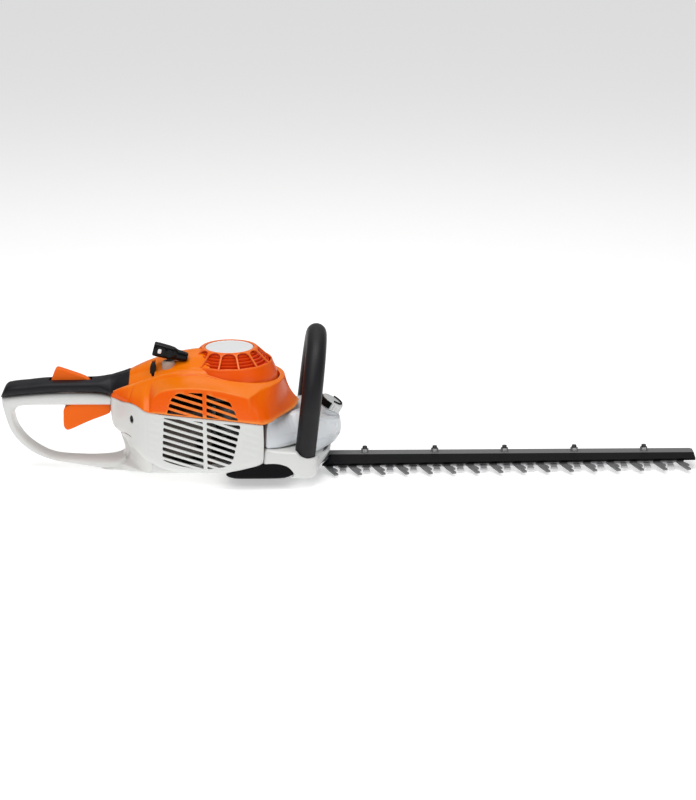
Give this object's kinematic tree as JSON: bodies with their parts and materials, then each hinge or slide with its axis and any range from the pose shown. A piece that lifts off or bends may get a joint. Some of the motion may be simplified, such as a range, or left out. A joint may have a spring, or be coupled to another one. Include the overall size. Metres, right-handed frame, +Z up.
{
  "type": "hedge trimmer",
  "caption": "Petrol hedge trimmer with a rear loop handle, a front bow handle, a recoil starter and a single-sided reciprocating cutting bar.",
  "frame": {"origin": "on the ground, where the vertical crankshaft axis meets the flat sole of the skid foot", "axes": "+X forwards along the cutting bar, +Y to the side without teeth, +Z up"},
  "size_m": [0.89, 0.198, 0.186],
  "materials": {
    "orange_shell": "semi-gloss moulded",
    "orange_control": "satin moulded",
    "white_shell": "satin moulded",
    "badge_white": "plain gloss disc",
    "black_plastic": "fine grained",
    "soft_grip": "soft overmould",
    "bow_cover": "foamed rubber over tube",
    "tank_plastic": "translucent milky",
    "cap_grey": "satin moulded",
    "bar_steel": "black coated steel",
    "blade_dark": "ground steel, darkened",
    "blade_bright": "ground steel",
    "zinc_steel": "zinc plated",
    "cast_alloy": "die cast",
    "muffler_steel": "heat tinted sheet",
    "dark_steel": "oiled",
    "drum_plastic": "natural nylon",
    "rope_fibre": "braided cord",
    "filter_felt": "felt",
    "plug_ceramic": "glazed"
  },
  "bodies": {
    "machine": {"top_cover": "orange_shell", "starter_housing": "orange_shell", "badge_disc": "badge_white", "side_panel_near": "white_shell", "side_panel_far": "white_shell", "base_housing": "white_shell", "skid_foot": "black_plastic", "handle_shell_near": "white_shell", "handle_shell_far": "white_shell", "rear_grip": "soft_grip", "front_bow": "bow_cover", "fuel_tank": "tank_plastic", "air_filter_cover": "black_plastic", "air_filter": "filter_felt", "carburettor": "cast_alloy", "intake_flange": "black_plastic", "engine_cylinder": "cast_alloy", "crankcase": "cast_alloy", "upper_bearing": "zinc_steel", "lower_bearing": "zinc_steel", "muffler": "muffler_steel", "spark_plug": "plug_ceramic", "plug_boot": "black_plastic", "ignition_module": "black_plastic", "fan_shroud": "black_plastic", "recoil_spring": "zinc_steel", "rope_guide": "black_plastic", "trigger_pin": "zinc_steel", "trigger_spring": "zinc_steel", "lever_pin": "zinc_steel", "throttle_rod": "zinc_steel", "gear_housing": "cast_alloy", "gear_cover": "cast_alloy", "guide_bar": "bar_steel", "bar_bolts": "dark_steel", "bar_nuts": "zinc_steel", "case_screws": "dark_steel", "bow_screws": "zinc_steel"},
    "throttle": {"throttle_trigger": "orange_control"},
    "lockout": {"lockout_lever": "orange_control"},
    "pull_grip": {"starter_grip": "black_plastic"},
    "starter_reel": {"rope_drum": "drum_plastic", "starter_rope": "rope_fibre"},
    "filler_cap": {"fuel_cap": "cap_grey"},
    "cap_handle": {"cap_bail": "black_plastic"},
    "choke": {"choke_knob": "black_plastic"},
    "stop_button": {"stop_switch": "black_plastic"},
    "piston_set": {"piston": "cast_alloy", "gudgeon_pin": "zinc_steel", "connecting_rod": "cast_alloy"},
    "crank": {"crankshaft": "zinc_steel", "flywheel": "cast_alloy", "starter_cup": "zinc_steel", "clutch_hub": "dark_steel", "clutch_shoes": "dark_steel"},
    "clutch_bell": {"clutch_drum": "dark_steel"},
    "gear": {"drive_gear": "dark_steel"},
    "blade_upper": {"upper_blade": "blade_dark"},
    "blade_lower": {"lower_blade": "blade_bright"}
  },
  "joints": [
    {"name": "trigger_squeeze", "type": "hinge", "parent": "machine", "child": "throttle", "pos_m": [-0.155, 0, 0.092], "axis": [0, 1, 0], "range_deg": [0, 14], "stiffness_Nm_per_rad": 0.4, "springref_deg": -20.05},
    {"name": "lockout_press", "type": "hinge", "parent": "machine", "child": "lockout", "pos_m": [-0.18, 0, 0.1105], "axis": [0, -1, 0], "range_deg": [0, 12], "stiffness_Nm_per_rad": 0.25, "springref_deg": -20.05},
    {"name": "rope_drum_turn", "type": "hinge", "parent": "machine", "child": "starter_reel", "pos_m": [0, 0, 0], "axis": [0, 0, -1], "range_deg": [0, 820], "stiffness_Nm_per_rad": 0.004, "springref_deg": -171.89},
    {"name": "starter_pull", "type": "slide", "parent": "machine", "child": "pull_grip", "axis": [0, 0, 1], "range_m": [0, 0.401]},
    {"name": "fuel_cap_turn", "type": "hinge", "parent": "machine", "child": "filler_cap", "pos_m": [0.129, -0.004, 0.084], "axis": [0.5299, 0, 0.848], "range_deg": [0, 90]},
    {"name": "cap_bail_lift", "type": "hinge", "parent": "filler_cap", "child": "cap_handle", "pos_m": [0.13313, -0.004, 0.09062], "axis": [0, -1, 0], "range_deg": [0, 90]},
    {"name": "choke_turn", "type": "hinge", "parent": "machine", "child": "choke", "pos_m": [-0.032, 0.09, 0.044], "axis": [0, 1, 0], "range_deg": [0, 90]},
    {"name": "stop_press", "type": "slide", "parent": "machine", "child": "stop_button", "axis": [0, 0, -1], "range_m": [0, 0.004], "stiffness_N_per_m": 300, "springref_m": -0.004},
    {"name": "piston_stroke", "type": "slide", "parent": "machine", "child": "piston_set", "axis": [1, 0, 0], "range_m": [0, 0.03]},
    {"name": "crank_spin", "type": "hinge", "parent": "machine", "child": "crank", "pos_m": [0, 0, 0], "axis": [0, 0, 1], "continuous": true},
    {"name": "gear_turn", "type": "hinge", "parent": "machine", "child": "gear", "pos_m": [0.066, 0, 0], "axis": [0, 0, 1], "range_deg": [0, 180]},
    {"name": "clutch_turn", "type": "hinge", "parent": "machine", "child": "clutch_bell", "pos_m": [0, 0, 0], "axis": [0, 0, 1], "range_deg": [-811, 1]},
    {"name": "upper_blade_slide", "type": "slide", "parent": "machine", "child": "blade_upper", "axis": [1, 0, 0], "range_m": [-0.015, 0]},
    {"name": "lower_blade_slide", "type": "slide", "parent": "machine", "child": "blade_lower", "axis": [1, 0, 0], "range_m": [0, 0.015]}
  ],
  "couplings": [
    {"joint": "starter_pull", "follows": "rope_drum_turn", "m_per_rad": 0.028},
    {"joint": "clutch_turn", "follows": "gear_turn", "ratio": -4.5},
    {"joint": "upper_blade_slide", "follows": "gear_turn", "m_per_rad": -0.0047699},
    {"joint": "lower_blade_slide", "follows": "gear_turn", "m_per_rad": 0.0047699}
  ]
}
